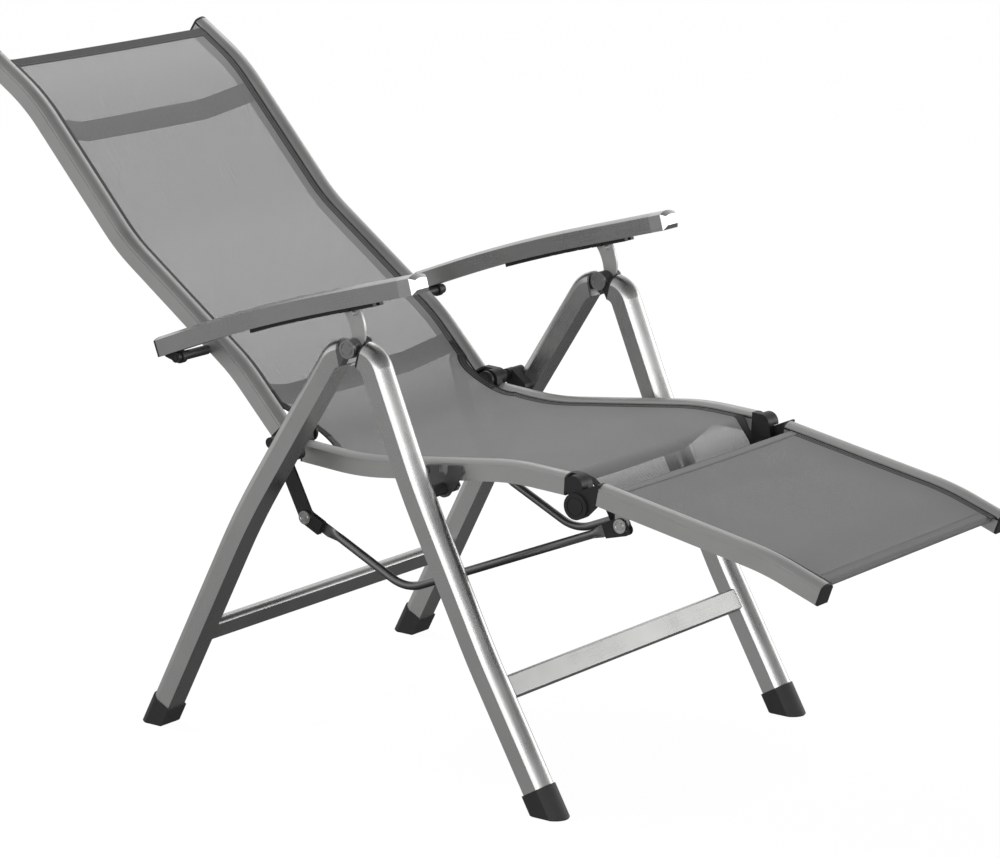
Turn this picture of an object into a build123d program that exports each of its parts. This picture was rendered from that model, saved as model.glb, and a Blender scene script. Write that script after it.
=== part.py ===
"""Reclining garden armchair with a folding aluminium frame, sling seat and linked footrest.

X runs across the chair, the sitter faces -Y, Z is up and the floor is at Z = 0. Every
length is in millimetres. The side view is laid out from the apex hub, where the front
and rear legs meet under the armrest, and the finished parts are moved so that the
origin is under the middle of the chair.
"""
import os
from math import atan2, cos, degrees, hypot, radians, sin, tan

from build123d import *

os.makedirs("parts", exist_ok=True)

# Driving dimensions of the whole chair
leg_pitch = 566.0
armrest_pitch = 570.0
rail_pitch = 438.0
hub_height = 573.4
back_length = 685.0
footrest_length = 341.0

# Clearances
moving_gap = 0.3
pivot_gap = 0.25
fit_gap = 0.1
overrun = 4.0

# Leg tube: flat sides and inner face, round outer face, bent a little in the side view
leg_width = 35.0
leg_side = 22.0
leg_crown = 13.0
leg_wall = 2.0
leg_bend_radius = 1100.0
leg_top_radius = 22.0
leg_end_height = 7.0
front_leg_offset = 19.4
front_leg_slopes = (66.9, 62.5, 59.8)
front_leg_bend_height = 400.0
front_leg_low_bend_height = 190.0
rear_leg_offset = 14.5
rear_leg_slopes = (57.7, 63.3)
rear_leg_bend_height = 315.0
leg_top_drop = 17.0
front_leg_top_run = 13.0
front_leg_top_slope = 14.0
rear_leg_top_run = 10.0
rear_leg_top_slope = 14.0

# Foot caps and crossbars
foot_wall = 2.0
foot_length = 30.0
foot_chamfer = 1.6
crossbar_height = 32.0
crossbar_depth = 15.0
crossbar_crown = 3.0
crossbar_wall = 1.8
front_crossbar_height = 152.0
rear_crossbar_height = 142.0
front_crossbar_setback = 9.5
rear_crossbar_setback = 3.0

# Apex hub, its lap lugs, disc caps and latch
hub_lug_radius = 13.0
hub_bolt_radius = 4.0
hub_cap_radius = 12.5
hub_cap_thickness = 3.2
flange_thickness = 3.0
tang_length = 18.0
latch_thickness = 4.0
latch_rise = 45.7
latch_front_edge = ((-13.0, 0.0), (-16.5, 24.0), (-5.5, 54.0))
latch_rear_edge = ((20.0, 47.5), (9.5, 31.0), (4.5, 12.0))
latch_pin_radius = 3.0
latch_pin_length = 17.0
legs_fold = 55.0
fold_line = 118.0
fold_margin = 1.5

# Rail extrusion of back, seat and footrest, with its keder slot and outer groove
rail_width = 24.0
rail_height = 28.0
rail_crown = 5.0
rail_wall = 2.0
groove_size = 1.6
groove_height = 6.0
keder_radius = 2.9
keder_mouth = 2.8
keder_height = 6.0
keder_inset = 5.4
rail_cap_thickness = 3.5

# Side view of the rails: slopes along the run, rising is positive
back_run_share = (0.152, 0.363, 0.354, 0.131)
back_slopes = (46.0, 35.7, 47.8, 33.0)
back_bend_radius = 270.0
seat_slopes = (-3.5, 7.3, -2.5)
seat_rear_run = 97.0
seat_front_run = 84.0
seat_bend_radius = 400.0
footrest_run_share = (0.76, 0.24)
footrest_slopes = (-10.2, -19.5)
footrest_bend_radius = 360.0

# Pivots in the side view, from the hub axis and the floor
hinge_reach = 145.5
hinge_height = 423.0
seat_pivot_reach = 105.607
seat_pivot_height = 391.0
knee_reach = 315.5
knee_height = 400.0
armrest_pivot_reach = 297.5
armrest_pivot_height = 520.0
lever_pin_drop = 117.0
foot_pin_reach = 53.0
foot_pin_drop = 22.0

# Where the rails start and end from their hinges
back_rail_setback = 30.0
back_rail_rise = 4.0
seat_rail_setback = 13.5
seat_rail_drop = 19.5
seat_front_setback = 17.5
footrest_rail_setback = 32.0
footrest_rail_rise = 18.8

# Hinge knuckles, bolts, sleeves and caps
knuckle_radius = 13.0
pivot_radius = 4.0
disc_radius = 13.0
disc_thickness = 3.5
disc_ring_share = 0.72
disc_ring_width = 1.4
disc_ring_depth = 0.8
disc_standoff = 7.0
standoff_radius = 8.5
sleeve_radius = 6.5
hinge_knob_radius = 8.0
hinge_knob_length = 16.0
hinge_knob_setback = 3.0
cradle_wall = 3.0
cradle_width = 17.0
cradle_foot_radius = 9.0
cradle_way = 30.0
cradle_boss_radius = 7.5
knee_disc_radius = 17.5
knee_dome_radius = 14.0

# Seat bracket on the front leg
bracket_thickness = 4.0
bracket_span = 54.0
bracket_arm_radius = 6.0
bracket_lug_radius = 12.0
bracket_notch_radius = 7.0
bracket_rivet_radius = 5.0
bracket_rivet_height = 1.6
spacer_radius = 8.0
nut_radius = 8.0
nut_length = 7.0
bolt_head_radius = 7.5
bolt_head_length = 4.0
inner_spacer_length = 17.0
rivet_nut_radius = 6.0
rivet_nut_length = 12.0

# Levers and link rods that drive the footrest
lever_thickness = 4.0
lever_width = 23.0
lever_bend_rise = 80.0
lever_bend_reach = 42.0
lever_hold_reach = 31.0
lever_hold_drop = 7.5
lever_bend_radius = 150.0
lever_rivet_pitch = 18.0
clevis_sheet = 2.0
clevis_height = 20.0
clevis_length = 28.0
clevis_slot_length = 8.2
clevis_slot_angle = 215.5
clevis_slot_gap = 0.9
clevis_slot_margin = 4.0
rivet_radius = 2.5
rivet_head_radius = 9.4
rivet_head_length = 1.8
link_radius = 5.75
link_bend_radius = 62.0
link_corner_reach = -16.5
link_corner_height = 231.0
link_blade_width = 16.0
link_blade_length = 20.0
link_taper_length = 18.0
tab_width = 20.0
tab_rise = 26.0

# Armrests, their front caps, rear plugs, pivot lugs and notched racks
armrest_width = 36.0
armrest_height = 26.5
armrest_crown = 4.0
armrest_wall = 2.2
armrest_rear_reach = 324.0
armrest_rear_height = 531.8
armrest_slopes = (21.4, 15.8)
armrest_rear_run = 179.0
armrest_front_run = 249.0
armrest_bend_radius = 2600.0
armrest_cap_length = 26.0
armrest_cap_chamfer = 6.0
armrest_lug_thickness = 8.0
armrest_lug_radius = 9.0
armrest_lug_length = 27.0
armrest_knob_radius = 7.0
armrest_knob_length = 7.0
rack_length = 214.0
rack_height = 5.0
rack_width = 22.0
rack_slot_width = 7.0
rack_front_setback = 52.0
rack_notch_count = 5
rack_notch_pitch = 22.5
rack_notch_depth = 3.0

# Flat oval cross tubes between the rails, bowed away from the sitter, and the rod in the hem
cross_width = 30.0
cross_depth = 12.0
cross_crown = 3.0
cross_wall = 1.6
hem_rod_radius = 5.0
hem_rod_rise = 1.0
hem_rod_room = 2.0
hem_rod_setback = 14.0
cross_drop = 4.0
cross_bow = 26.0
cross_bow_share = 0.62
cross_bend_radius = 90.0
upper_cross_share = 0.80
lumbar_cross_share = 0.085
seat_cross_share = 0.84

# Slings
sling_thickness = 2.0
sling_sag = 5.0
bead_radius = 2.4
sling_end_margin = 12.0
seat_sling_rear_margin = 12.0


# Side-view geometry: a point is (Y, Z), an angle turns from +Y towards +Z
def along(point, angle, length):
    return (point[0] + length * cos(radians(angle)), point[1] + length * sin(radians(angle)))


def at_height(point, angle, height):
    return (point[0] + (height - point[1]) / tan(radians(angle)), height)


def heading(start, end):
    return degrees(atan2(end[1] - start[1], end[0] - start[0]))


def span(start, end):
    return hypot(end[0] - start[0], end[1] - start[1])


def chain(start, angles, lengths):
    """Corner points of a run of straight stretches."""
    points = [start]
    for angle, length in zip(angles, lengths):
        points.append(along(points[-1], angle, length))
    return points


# Stations across the chair, on its +X side
leg_x = leg_pitch / 2
leg_inner = leg_x - leg_width / 2
leg_outer = leg_x + leg_width / 2
armrest_x = armrest_pitch / 2
rail_x = rail_pitch / 2
rail_inner = rail_x - rail_width / 2
rail_outer = rail_x + rail_width / 2
lap_inner = rail_x - moving_gap / 2
lap_outer = rail_x + moving_gap / 2
lever_outer = rail_inner
lever_inner = lever_outer - lever_thickness
cheek_inner = lever_inner - moving_gap - clevis_sheet
cheek_outer = rail_inner + moving_gap
link_x = cheek_inner - clevis_sheet
latch_inner = armrest_x - latch_thickness / 2
latch_outer = armrest_x + latch_thickness / 2
hinge_knob_end = leg_inner - hinge_knob_setback

# Pivots
hub = (0, hub_height)
hinge = (hinge_reach, hinge_height)
knee = (-knee_reach, knee_height)
seat_pivot = (-seat_pivot_reach, seat_pivot_height)
armrest_pivot = (armrest_pivot_reach, armrest_pivot_height)
lever_pin = (hinge[0], hinge[1] - lever_pin_drop)
foot_pin = (knee[0] - foot_pin_reach, knee[1] - foot_pin_drop)
latch_point = (hub[0], hub[1] + latch_rise)

# Centre lines of the legs
rear_line = along(hub, 90 - rear_leg_slopes[0], rear_leg_offset)
rear_bend = at_height(rear_line, -rear_leg_slopes[0], rear_leg_bend_height)
rear_foot = at_height(rear_bend, -rear_leg_slopes[1], leg_end_height)
rear_top_corner = at_height(rear_line, -rear_leg_slopes[0], hub_height - leg_top_drop)
rear_top = along(rear_top_corner, 180 - rear_leg_top_slope, rear_leg_top_run)
front_line = along(hub, 90 + front_leg_slopes[0], front_leg_offset)
front_bend = at_height(front_line, front_leg_slopes[0], front_leg_bend_height)
front_low_bend = at_height(front_bend, front_leg_slopes[1], front_leg_low_bend_height)
front_foot = at_height(front_low_bend, front_leg_slopes[2], leg_end_height)
front_top_corner = at_height(front_line, front_leg_slopes[0], hub_height - leg_top_drop)
front_top = along(front_top_corner, front_leg_top_slope, front_leg_top_run)
rear_leg_points = [rear_top, rear_top_corner, rear_bend, rear_foot]
front_leg_points = [front_top, front_top_corner, front_bend, front_low_bend, front_foot]
rear_leg_radii = [leg_top_radius, leg_bend_radius]
front_leg_radii = [leg_top_radius, leg_bend_radius, leg_bend_radius]

# Centre lines of the rails
back_start = (hinge[0] + back_rail_setback, hinge[1] + back_rail_rise)
back_points = chain(back_start, back_slopes, [share * back_length for share in back_run_share])
seat_start = (hinge[0] - seat_rail_setback, hinge[1] - seat_rail_drop)
seat_middle_run = seat_start[0] - knee[0] - seat_front_setback - seat_rear_run - seat_front_run
seat_points = chain(
    seat_start, [180 - slope for slope in seat_slopes], [seat_rear_run, seat_middle_run, seat_front_run])
footrest_start = (knee[0] - footrest_rail_setback, knee[1] + footrest_rail_rise)
footrest_points = chain(
    footrest_start, [180 - slope for slope in footrest_slopes],
    [share * footrest_length for share in footrest_run_share])
armrest_points = chain(
    (armrest_rear_reach, armrest_rear_height), [180 - slope for slope in armrest_slopes],
    [armrest_rear_run, armrest_front_run])
lever_top = along(along(back_start, back_slopes[0], lever_hold_reach), back_slopes[0] - 90, lever_hold_drop)
lever_bend = (lever_pin[0] + lever_bend_reach, lever_pin[1] + lever_bend_rise)
lever_points = [lever_pin, lever_bend, lever_top]
link_points = [lever_pin, (link_corner_reach, link_corner_height), foot_pin]


# Shapes drawn in the side view and given a thickness across the chair
def plate(face, start, end):
    """Side-view face, extruded from one station across the chair to another."""
    return extrude(Pos(start, 0, 0) * (Plane.YZ * face), end - start)


def round_at(point, radius):
    return Pos(point[0], point[1]) * Circle(radius)


def bar_face(start, end, width):
    """Round-ended bar between two side-view points."""
    length = span(start, end)
    middle = ((start[0] + end[0]) / 2, (start[1] + end[1]) / 2)
    return Pos(*middle) * Rot(0, 0, heading(start, end)) * SlotCenterToCenter(length, width)


def block_face(start, angle, length, height):
    """Rectangle that starts at a point and runs along an angle."""
    return Pos(*along(start, angle, length / 2)) * Rot(0, 0, angle) * Rectangle(length, height)


def hull_face(*faces):
    edges = [edge for face in faces for edge in face.edges()]
    return make_hull(edges)


def cylinder(point, radius, start, end):
    return plate(round_at(point, radius), start, end)


def side_path(points, radii, x):
    path = FilletPolyline(*points, radius=radii) if len(points) > 2 else Line(*points)
    return Pos(x, 0, 0) * (Plane.YZ * path)


def sweep_rail(section, points, radii, x):
    """Section carried along a side-view path; its local x points away from the chair."""
    path = side_path(points, radii, x)
    start = Plane(origin=path @ 0, x_dir=(1, 0, 0), z_dir=path % 0)
    return sweep(start * section, path=path)


# Sections: local x points outwards, local y is the upper side where the run allows it
def oval_face(width, height, crown):
    """Flat sides with a bowed top and bottom."""
    side = height / 2 - crown
    left, right = -width / 2, width / 2
    return make_face(Wire([
        Edge.make_line((left, -side), (left, side)),
        ThreePointArc((left, side), (0, height / 2), (right, side)).edge(),
        Edge.make_line((right, side), (right, -side)),
        ThreePointArc((right, -side), (0, -height / 2), (left, -side)).edge(),
    ]))


def oval_tube(width, height, crown, wall):
    return oval_face(width, height, crown) - oval_face(width - 2 * wall, height - 2 * wall, crown)


def crowned_face(width, height, crown, flip):
    """Square lower part and a bowed top; flip is -1 where the run puts local y underneath."""
    left, right = -width / 2, width / 2
    low, shoulder, top = -height / 2, height / 2 - crown, height / 2
    return make_face(Wire([
        Edge.make_line((left, flip * low), (left, flip * shoulder)),
        ThreePointArc((left, flip * shoulder), (0, flip * top), (right, flip * shoulder)).edge(),
        Edge.make_line((right, flip * shoulder), (right, flip * low)),
        Edge.make_line((right, flip * low), (left, flip * low)),
    ]))


def leg_face(grow, flip):
    """Outline of a leg, grown by a length; the path runs halfway along its flat sides."""
    height = leg_side + leg_crown + 2 * grow
    return Pos(0, flip * leg_crown / 2) * crowned_face(leg_width + 2 * grow, height, leg_crown, flip)


def rail_outline(flip):
    return crowned_face(rail_width, rail_height, rail_crown, flip)


def rail_void(flip, gap):
    """Hollow of the rail below the keder channel, also the section of the tangs in it."""
    low = -rail_height / 2 + rail_wall + gap
    high = keder_height - keder_radius - rail_wall - gap
    width = rail_width - 2 * rail_wall - 2 * gap
    return Pos(0, flip * (low + high) / 2) * Rectangle(width, high - low)


def rail_section(flip):
    channel_x = -rail_width / 2 + keder_inset
    channel = Pos(channel_x, flip * keder_height) * Circle(keder_radius)
    mouth = Pos(channel_x - keder_inset / 2, flip * keder_height) * Rectangle(keder_inset, keder_mouth)
    groove = Pos(rail_width / 2, flip * groove_height) * Rectangle(groove_size, groove_size)
    return rail_outline(flip) - channel - mouth - groove - rail_void(flip, 0)


# Runs to the rear have local y underneath; runs to the front have it on top
back_flip, rear_flip, front_flip = -1, -1, 1


def tang(points, flip):
    """Plug in the hollow of a rail, from its start along its first run."""
    angle = heading(points[0], points[1])
    end = along(points[0], angle, tang_length)
    return sweep_rail(rail_void(flip, fit_gap), [points[0], end], [], rail_x)


def ringed_disc(point, radius, face_x, outer_x):
    """Flat disc cap with a ring groove in its outer face."""
    disc = cylinder(point, radius, face_x, outer_x)
    depth = disc_ring_depth if outer_x > face_x else -disc_ring_depth
    ring_radius = radius * disc_ring_share
    ring = round_at(point, ring_radius) - round_at(point, ring_radius - disc_ring_width)
    return disc - plate(ring, outer_x - depth, outer_x)


# Legs
def make_leg(points, radii, flip):
    return sweep_rail(leg_face(0, flip) - leg_face(-leg_wall, flip), points, radii, leg_x)


def leg_hollow(points, radii, flip, gap):
    """Inside of a leg, shrunk by a gap."""
    return sweep_rail(leg_face(-leg_wall - gap, flip), points, radii, leg_x)


def leg_envelope(points, flip):
    return sweep_rail(leg_face(fit_gap, flip), points, [], leg_x)


def make_foot(points, flip):
    """Cap over the end of a leg, cut flat on the floor."""
    end, before = points[-1], points[-2]
    angle = heading(end, before)
    low = along(end, angle, -foot_length)
    high = along(end, angle, foot_length - foot_wall)
    cap = sweep_rail(leg_face(foot_wall, flip), [high, low], [], leg_x)
    room = 3 * foot_length
    floor_cut = Pos(leg_x, end[0], -room / 2) * Box(room, room, room)
    cap = cap - floor_cut
    rim = cap.faces().sort_by(Axis.Z)[0].edges()
    return chamfer(rim, foot_chamfer) - leg_envelope([high, end], flip)


def crossbar(leg_low, leg_slope, height, setback):
    """Flat oval tube between the legs, its height along the leg."""
    centre = at_height(leg_low, leg_slope, height)
    centre = along(centre, 180, setback)
    section = oval_tube(crossbar_depth, crossbar_height, crossbar_crown, crossbar_wall)
    plane = Plane(origin=(-leg_inner, centre[0], centre[1]), x_dir=(0, 1, 0), z_dir=(1, 0, 0))
    return extrude(plane * (Rot(0, 0, leg_slope - 90) * section), 2 * leg_inner)


# Apex hub
def leg_plug(points, radii, flip, lug_inner, lug_outer, relief):
    """Plug in the top of a leg, with a lap lug round the hub bolt.

    relief is a face that the other leg's plug sweeps through when the legs fold.
    """
    angle = heading(points[0], points[1])
    end = along(points[0], angle, tang_length / 2)
    core = sweep_rail(leg_face(-leg_wall - fit_gap, flip), [points[0], end], [], leg_x)
    core = core & leg_hollow(points, radii, flip, fit_gap)
    flange_end = along(points[0], angle, -flange_thickness)
    flange = sweep_rail(leg_face(0, flip), [flange_end, points[0]], [], leg_x)
    cheek = hull_face(
        round_at(hub, hub_lug_radius), block_face(points[0], angle, -flange_thickness, leg_side))
    lug = plate(cheek, lug_inner, lug_outer)
    swept = plate(relief - round_at(hub, hub_lug_radius), leg_inner - overrun, leg_outer + overrun)
    return core + flange + lug - swept


def fold_relief(angle, side):
    """Quarter of the plane beyond the line at an angle from the hub, on one side of it."""
    room = 2 * leg_width
    return block_face(along(hub, angle + side * 90, room / 2), angle, room, room)


def make_hub_bolt():
    """Bolt through the leg tops, with a disc cap on each side."""
    bolt = cylinder(hub, hub_bolt_radius, leg_inner, leg_outer)
    inner = ringed_disc(hub, hub_cap_radius, leg_inner, leg_inner - hub_cap_thickness)
    outer = ringed_disc(hub, hub_cap_radius, leg_outer, leg_outer + hub_cap_thickness)
    return bolt + inner + outer


def make_latch():
    """Curved blade on the hub, whose pin carries the armrest's rack."""
    front, rear = latch_front_edge, latch_rear_edge
    blade = make_face(Wire([
        ThreePointArc(*front).edge(), Edge.make_line(front[-1], rear[0]),
        ThreePointArc(*rear).edge(), Edge.make_line(rear[-1], front[0])]))
    fin = Pos(*hub) * blade + round_at(hub, hub_lug_radius)
    return plate(fin, latch_inner, latch_outer) - hub_bore(fit_gap) - latch_bore()


def hub_bore(gap):
    return cylinder(hub, hub_bolt_radius + gap, leg_inner - overrun, leg_outer + overrun)


def latch_bore():
    return cylinder(latch_point, latch_pin_radius + fit_gap, latch_inner - overrun, latch_outer + overrun)


def make_latch_pin():
    half = latch_pin_length / 2
    return cylinder(latch_point, latch_pin_radius, armrest_x - half, armrest_x + half)


# Rails
def make_rail(points, radius, flip):
    return sweep_rail(rail_section(flip), points, [radius] * (len(points) - 2), rail_x)


def rail_cap(points, flip):
    """Flat plug on the far end of a rail."""
    angle = heading(points[-2], points[-1])
    end = along(points[-1], angle, rail_cap_thickness)
    return sweep_rail(rail_outline(flip), [points[-1], end], [], rail_x)


def knuckle(pivot, radius, points, flip, own, other, other_radius):
    """Plug on the start of a rail with a lap lug round a pivot.

    own and other are the stations of the two laps; the flange is cut back round the
    lug of the piece that it hinges with.
    """
    angle = heading(points[0], points[1])
    flange_end = along(points[0], angle, -flange_thickness)
    flange = sweep_rail(rail_outline(flip), [flange_end, points[0]], [], rail_x)
    flange = flange - cylinder(pivot, other_radius + moving_gap, *other)
    cheek = hull_face(round_at(pivot, radius), block_face(points[0], angle, -flange_thickness, rail_height))
    lug = plate(cheek, *own)
    return tang(points, flip) + flange + lug


def pivot_bore(point, radius, gap):
    room = 2 * leg_x
    return cylinder(point, radius + gap, 0, room)


inner_lap = (rail_inner, lap_inner)
outer_lap = (lap_outer, rail_outer)


# Back hinge
def make_back_knuckle():
    piece = knuckle(hinge, knuckle_radius, back_points, back_flip, outer_lap, inner_lap, knuckle_radius)
    return piece - pivot_bore(hinge, pivot_radius, pivot_gap)


def make_seat_rear_knuckle():
    piece = knuckle(hinge, knuckle_radius, seat_points, front_flip, inner_lap, outer_lap, knuckle_radius)
    return piece - pivot_bore(hinge, pivot_radius, fit_gap)


def make_hinge_bolt():
    """Disc-headed bolt of the back hinge, out to the knob in the cradle on the rear leg."""
    face = rail_inner - disc_standoff
    boss = cylinder(hinge, standoff_radius, rail_inner, face)
    disc = ringed_disc(hinge, disc_radius, face, face - disc_thickness)
    return cylinder(hinge, pivot_radius, face, hinge_knob_end) + boss + disc


def make_hinge_sleeve():
    knob_start = hinge_knob_end - hinge_knob_length
    sleeve = cylinder(hinge, sleeve_radius, rail_outer + moving_gap, knob_start)
    return sleeve - cylinder(hinge, pivot_radius, rail_outer, knob_start)


def make_hinge_knob():
    knob_start = hinge_knob_end - hinge_knob_length
    knob = cylinder(hinge, hinge_knob_radius, knob_start, hinge_knob_end)
    return knob - cylinder(hinge, pivot_radius, knob_start, hinge_knob_end)


def make_cradle():
    """Cup on the inner face of the rear leg for the hinge knob, with a boss behind the leg.

    The knob lifts out of the cup when the legs fold.
    """
    facing = 90 - rear_leg_slopes[0]
    seat_radius = hinge_knob_radius + moving_gap
    reach = hinge[0] * cos(radians(facing)) + (hinge[1] - hub[1]) * sin(radians(facing))
    foot_point = along(hinge, facing + 180, reach - rear_leg_offset)
    shape = hull_face(round_at(hinge, seat_radius + cradle_wall), round_at(foot_point, cradle_foot_radius))
    shape = shape - round_at(hinge, seat_radius)
    for way in (0, facing, 90):
        shape = shape - block_face(hinge, way, cradle_way, 2 * seat_radius)
    boss = cylinder(hinge, cradle_boss_radius, leg_inner, leg_x)
    bridge = cylinder(hinge, cradle_boss_radius, leg_inner - hinge_knob_setback + moving_gap, leg_inner)
    boss = boss + bridge - leg_envelope([rear_top_corner, rear_bend], rear_flip)
    return plate(shape, leg_inner - cradle_width, leg_inner) + boss


# Knee hinge between seat and footrest
def make_seat_front_knuckle():
    """Block on the seat rail's front end, domed at rail level, with the inner lap lug."""
    end = seat_points[-1]
    angle = heading(end, seat_points[-2])
    run = [end, seat_points[-2]]
    dome_centre = along(end, angle + 180, knee_dome_radius)
    flange_end = along(end, angle + 180, flange_thickness)
    flange = sweep_rail(rail_outline(back_flip), [flange_end, end], [], rail_x)
    flange = flange - cylinder(knee, knee_disc_radius + moving_gap, *outer_lap)
    cheek = hull_face(
        round_at(knee, knuckle_radius), round_at(dome_centre, knee_dome_radius),
        block_face(end, angle, -flange_thickness, rail_height))
    dome = hull_face(
        round_at(dome_centre, knee_dome_radius), block_face(end, angle, -flange_thickness, knee_dome_radius))
    front_angle = heading(footrest_points[0], footrest_points[1])
    room = hull_face(
        round_at(knee, knee_disc_radius + moving_gap),
        block_face(
            footrest_points[0], front_angle, -flange_thickness - moving_gap, rail_height + 2 * moving_gap))
    outer_dome = plate(dome - room, *outer_lap)
    piece = tang(run, back_flip) + flange + plate(cheek, *inner_lap) + outer_dome
    return piece - pivot_bore(knee, pivot_radius, fit_gap)


def make_footrest_knuckle():
    piece = knuckle(
        knee, knee_disc_radius, footrest_points, front_flip, outer_lap, inner_lap, knuckle_radius)
    return piece - pivot_bore(knee, pivot_radius, pivot_gap)


def make_knee_bolt():
    inner = cylinder(knee, bolt_head_radius, rail_inner, rail_inner - bolt_head_length)
    shank = cylinder(knee, pivot_radius, rail_inner, rail_outer + moving_gap)
    face = rail_outer + moving_gap
    outer = ringed_disc(knee, knee_disc_radius, face, face + disc_thickness)
    return inner + shank + outer


# Seat bracket on the front leg
bracket_outer = rail_outer + bracket_thickness


def bracket_arm_points():
    angle = 180 - seat_slopes[1]
    seat_bend = seat_points[1]
    run = span(seat_bend, seat_points[2])
    across = (seat_bend[0] - seat_pivot[0]) / cos(radians(seat_slopes[1]))
    centre = along(along(seat_bend, angle, across), angle - 90, groove_height - bracket_arm_radius)
    return along(centre, angle, bracket_span / 2), along(centre, angle, -bracket_span / 2)


def make_seat_bracket():
    """V-shaped plate on the outside of the seat rail, with the pivot on the front leg."""
    front, rear = bracket_arm_points()
    middle = ((front[0] + rear[0]) / 2, (front[1] + rear[1]) / 2)
    shape = hull_face(
        round_at(front, bracket_arm_radius), round_at(rear, bracket_arm_radius),
        round_at(seat_pivot, bracket_lug_radius))
    notch = bar_face(middle, along(middle, 90, bracket_span / 2), 2 * bracket_notch_radius)
    piece = plate(shape - notch, rail_outer, bracket_outer)
    return piece - pivot_bore(seat_pivot, pivot_radius, pivot_gap)


def make_bracket_rivets():
    top = bracket_outer + bracket_rivet_height
    return [cylinder(point, bracket_rivet_radius, bracket_outer, top) for point in bracket_arm_points()]


inner_spacer_end = rail_outer - moving_gap


def make_seat_bolt():
    """Stud through the seat bracket, with the rivet nut that holds it inside the leg."""
    nut_end = inner_spacer_end - inner_spacer_length - nut_length
    wall_face = leg_inner + leg_wall
    shank = cylinder(seat_pivot, pivot_radius, nut_end, wall_face + rivet_nut_length)
    rivet_nut = cylinder(seat_pivot, rivet_nut_radius, wall_face, wall_face + rivet_nut_length)
    rivet_nut = rivet_nut & leg_hollow(front_leg_points, front_leg_radii, front_flip, 0)
    return [shank, rivet_nut - pivot_bore(seat_pivot, pivot_radius, fit_gap)]


def make_seat_spacers():
    inner = cylinder(seat_pivot, spacer_radius, inner_spacer_end - inner_spacer_length, inner_spacer_end)
    outer = cylinder(seat_pivot, spacer_radius, bracket_outer + moving_gap, leg_inner)
    bore = pivot_bore(seat_pivot, pivot_radius, fit_gap)
    return [inner - bore, outer - bore]


def make_seat_nut():
    end = inner_spacer_end - inner_spacer_length
    hexagon = Pos(*seat_pivot) * RegularPolygon(nut_radius, 6)
    return plate(hexagon, end, end - nut_length) - pivot_bore(seat_pivot, pivot_radius, fit_gap)


# Levers and link rods of the footrest
def make_lever():
    """Bent flat bar on the inside of the back rail, down to the link rod's pin."""
    path = FilletPolyline(*lever_points, radius=[lever_bend_radius])
    shape = trace(path, lever_width) + round_at(lever_points[0], lever_width / 2)
    shape = shape + round_at(lever_points[-1], lever_width / 2)
    return plate(shape, lever_inner, lever_outer) - pivot_bore(lever_pin, rivet_radius, fit_gap)


def make_lever_rivets():
    top = lever_points[-1]
    angle = heading(lever_points[-1], lever_points[-2])
    low = along(top, angle, lever_rivet_pitch)
    face = lever_inner - rivet_head_length
    return [cylinder(point, bracket_rivet_radius, face, lever_inner) for point in (top, low)]


def pin_with_heads(point):
    """Rivet through both cheeks of a clevis, with a flat head outside each."""
    left = cheek_inner - moving_gap
    right = cheek_outer + clevis_sheet + moving_gap
    shank = cylinder(point, rivet_radius, left, right)
    inner = ringed_disc(point, rivet_head_radius, left, left - rivet_head_length)
    outer = ringed_disc(point, rivet_head_radius, right, right + rivet_head_length)
    return shank + inner + outer


def make_clevis(pin, angle, slot):
    """Folded sheet round a lever or tab, joined to the link rod; the slot is the open pivot."""
    low = along(pin, angle, clevis_length)
    body = block_face(pin, angle, clevis_length, clevis_height)
    cheek = hull_face(round_at(pin, clevis_height / 2), body)
    hole = round_at(pin, rivet_radius + pivot_gap)
    if slot:
        far = along(pin, slot, clevis_slot_length)
        half = rivet_radius + clevis_slot_gap
        hole = bar_face(pin, far, 2 * half)
        cheek = hull_face(round_at(pin, clevis_height / 2), body, round_at(far, half + clevis_slot_margin))
    inner = plate(cheek - hole, cheek_inner, cheek_inner + clevis_sheet)
    outer = plate(cheek - hole, cheek_outer, cheek_outer + clevis_sheet)
    web_face = block_face(low, angle + 180, clevis_sheet, clevis_height)
    web = plate(web_face, cheek_inner, cheek_outer + clevis_sheet)
    return inner + outer + web


def make_link_rod():
    """Round tube with flattened ends on the inner cheeks of its two clevises."""
    rear_angle = heading(link_points[0], link_points[1])
    front_angle = heading(link_points[2], link_points[1])
    blade_start = clevis_length - link_blade_length / 2
    blade_end = blade_start + link_blade_length
    tube_start = blade_end + link_taper_length
    rear_tube = along(link_points[0], rear_angle, tube_start)
    front_tube = along(link_points[2], front_angle, tube_start)
    path = side_path([rear_tube, link_points[1], front_tube], [link_bend_radius], link_x - link_radius / 2)
    start = Plane(origin=path @ 0, x_dir=(1, 0, 0), z_dir=path % 0)
    rod = sweep(start * Circle(link_radius), path=path)
    for pin, angle in ((link_points[0], rear_angle), (link_points[2], front_angle)):
        rod = rod + link_end(pin, angle, blade_start, blade_end, tube_start)
    return rod


def link_end(pin, angle, blade_start, blade_end, tube_start):
    """Flattened end of the rod: a flat blade and the taper into the round tube."""
    blade_x = cheek_inner - clevis_sheet / 2
    rod_x = link_x - link_radius / 2
    first = along(pin, angle, blade_start)
    last = along(pin, angle, blade_end)
    round_end = along(pin, angle, tube_start)
    flat = Rectangle(clevis_sheet, link_blade_width)
    z_dir = (0, cos(radians(angle)), sin(radians(angle)))
    blade_plane = Plane(origin=(blade_x, *first), x_dir=(1, 0, 0), z_dir=z_dir)
    blade = extrude(blade_plane * flat, blade_end - blade_start)
    last_plane = Plane(origin=(blade_x, *last), x_dir=(1, 0, 0), z_dir=z_dir)
    round_plane = Plane(origin=(rod_x, *round_end), x_dir=(1, 0, 0), z_dir=z_dir)
    taper = loft([last_plane * flat, round_plane * Circle(link_radius)])
    return blade + taper


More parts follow.
